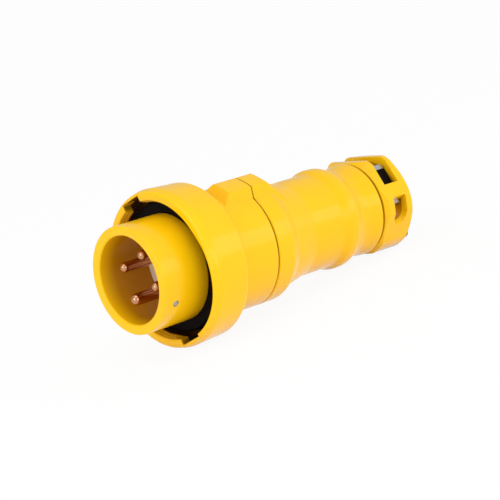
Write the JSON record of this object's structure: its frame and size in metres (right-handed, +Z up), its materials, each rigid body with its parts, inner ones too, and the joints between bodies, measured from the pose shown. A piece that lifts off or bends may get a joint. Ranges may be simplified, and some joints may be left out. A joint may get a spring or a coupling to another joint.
{
  "type": "explosion-proof power connector plug",
  "caption": "Straight power plug with pins in a deep contact sleeve, a turning bayonet coupling ring, a grip handle and a hexagonal cable gland with a cord clamp.",
  "frame": {"origin": "centre of the contact sleeve's rim, on the plug's axis", "axes": "+X runs along the plug from the pins to the cable entry; +Z is up, square to one flat of the gland nut, which faces down; +Y completes the right-handed set"},
  "size_m": [0.1636, 0.074, 0.074],
  "materials": {
    "yellow_plastic": "satin-gloss moulded plastic",
    "black_rubber": "matte moulded rubber",
    "pale_plastic": "matte insulating plastic",
    "copper_alloy": "turned copper alloy",
    "bright_steel": "bright plated steel"
  },
  "bodies": {
    "plug": {"contact_sleeve": "yellow_plastic", "coding_dowel": "bright_steel", "pin_carrier": "pale_plastic", "carrier_lock_ring": "pale_plastic", "phase_pin_1": "copper_alloy", "phase_pin_2": "copper_alloy", "phase_pin_3": "copper_alloy", "earth_pin": "copper_alloy", "phase_screw_1": "bright_steel", "phase_screw_2": "bright_steel", "phase_screw_3": "bright_steel", "earth_screw": "bright_steel", "face_gasket": "black_rubber", "handle_seal_ring": "black_rubber", "handle": "yellow_plastic", "cable_grommet": "black_rubber", "thrust_washer": "bright_steel", "gland_nut": "yellow_plastic", "clamp_jaw": "black_rubber", "clamp_screw_1": "bright_steel", "clamp_screw_2": "bright_steel", "clamp_nut_1": "bright_steel", "clamp_nut_2": "bright_steel", "end_disc": "yellow_plastic", "end_screw_1": "bright_steel", "end_screw_2": "bright_steel"},
    "ring": {"coupling_ring": "yellow_plastic"}
  },
  "joints": [
    {"name": "ring_turn", "type": "hinge", "parent": "plug", "child": "ring", "pos_m": [0.05, 0, 0], "axis": [-1, 0, 0], "range_deg": [0, 40]}
  ]
}
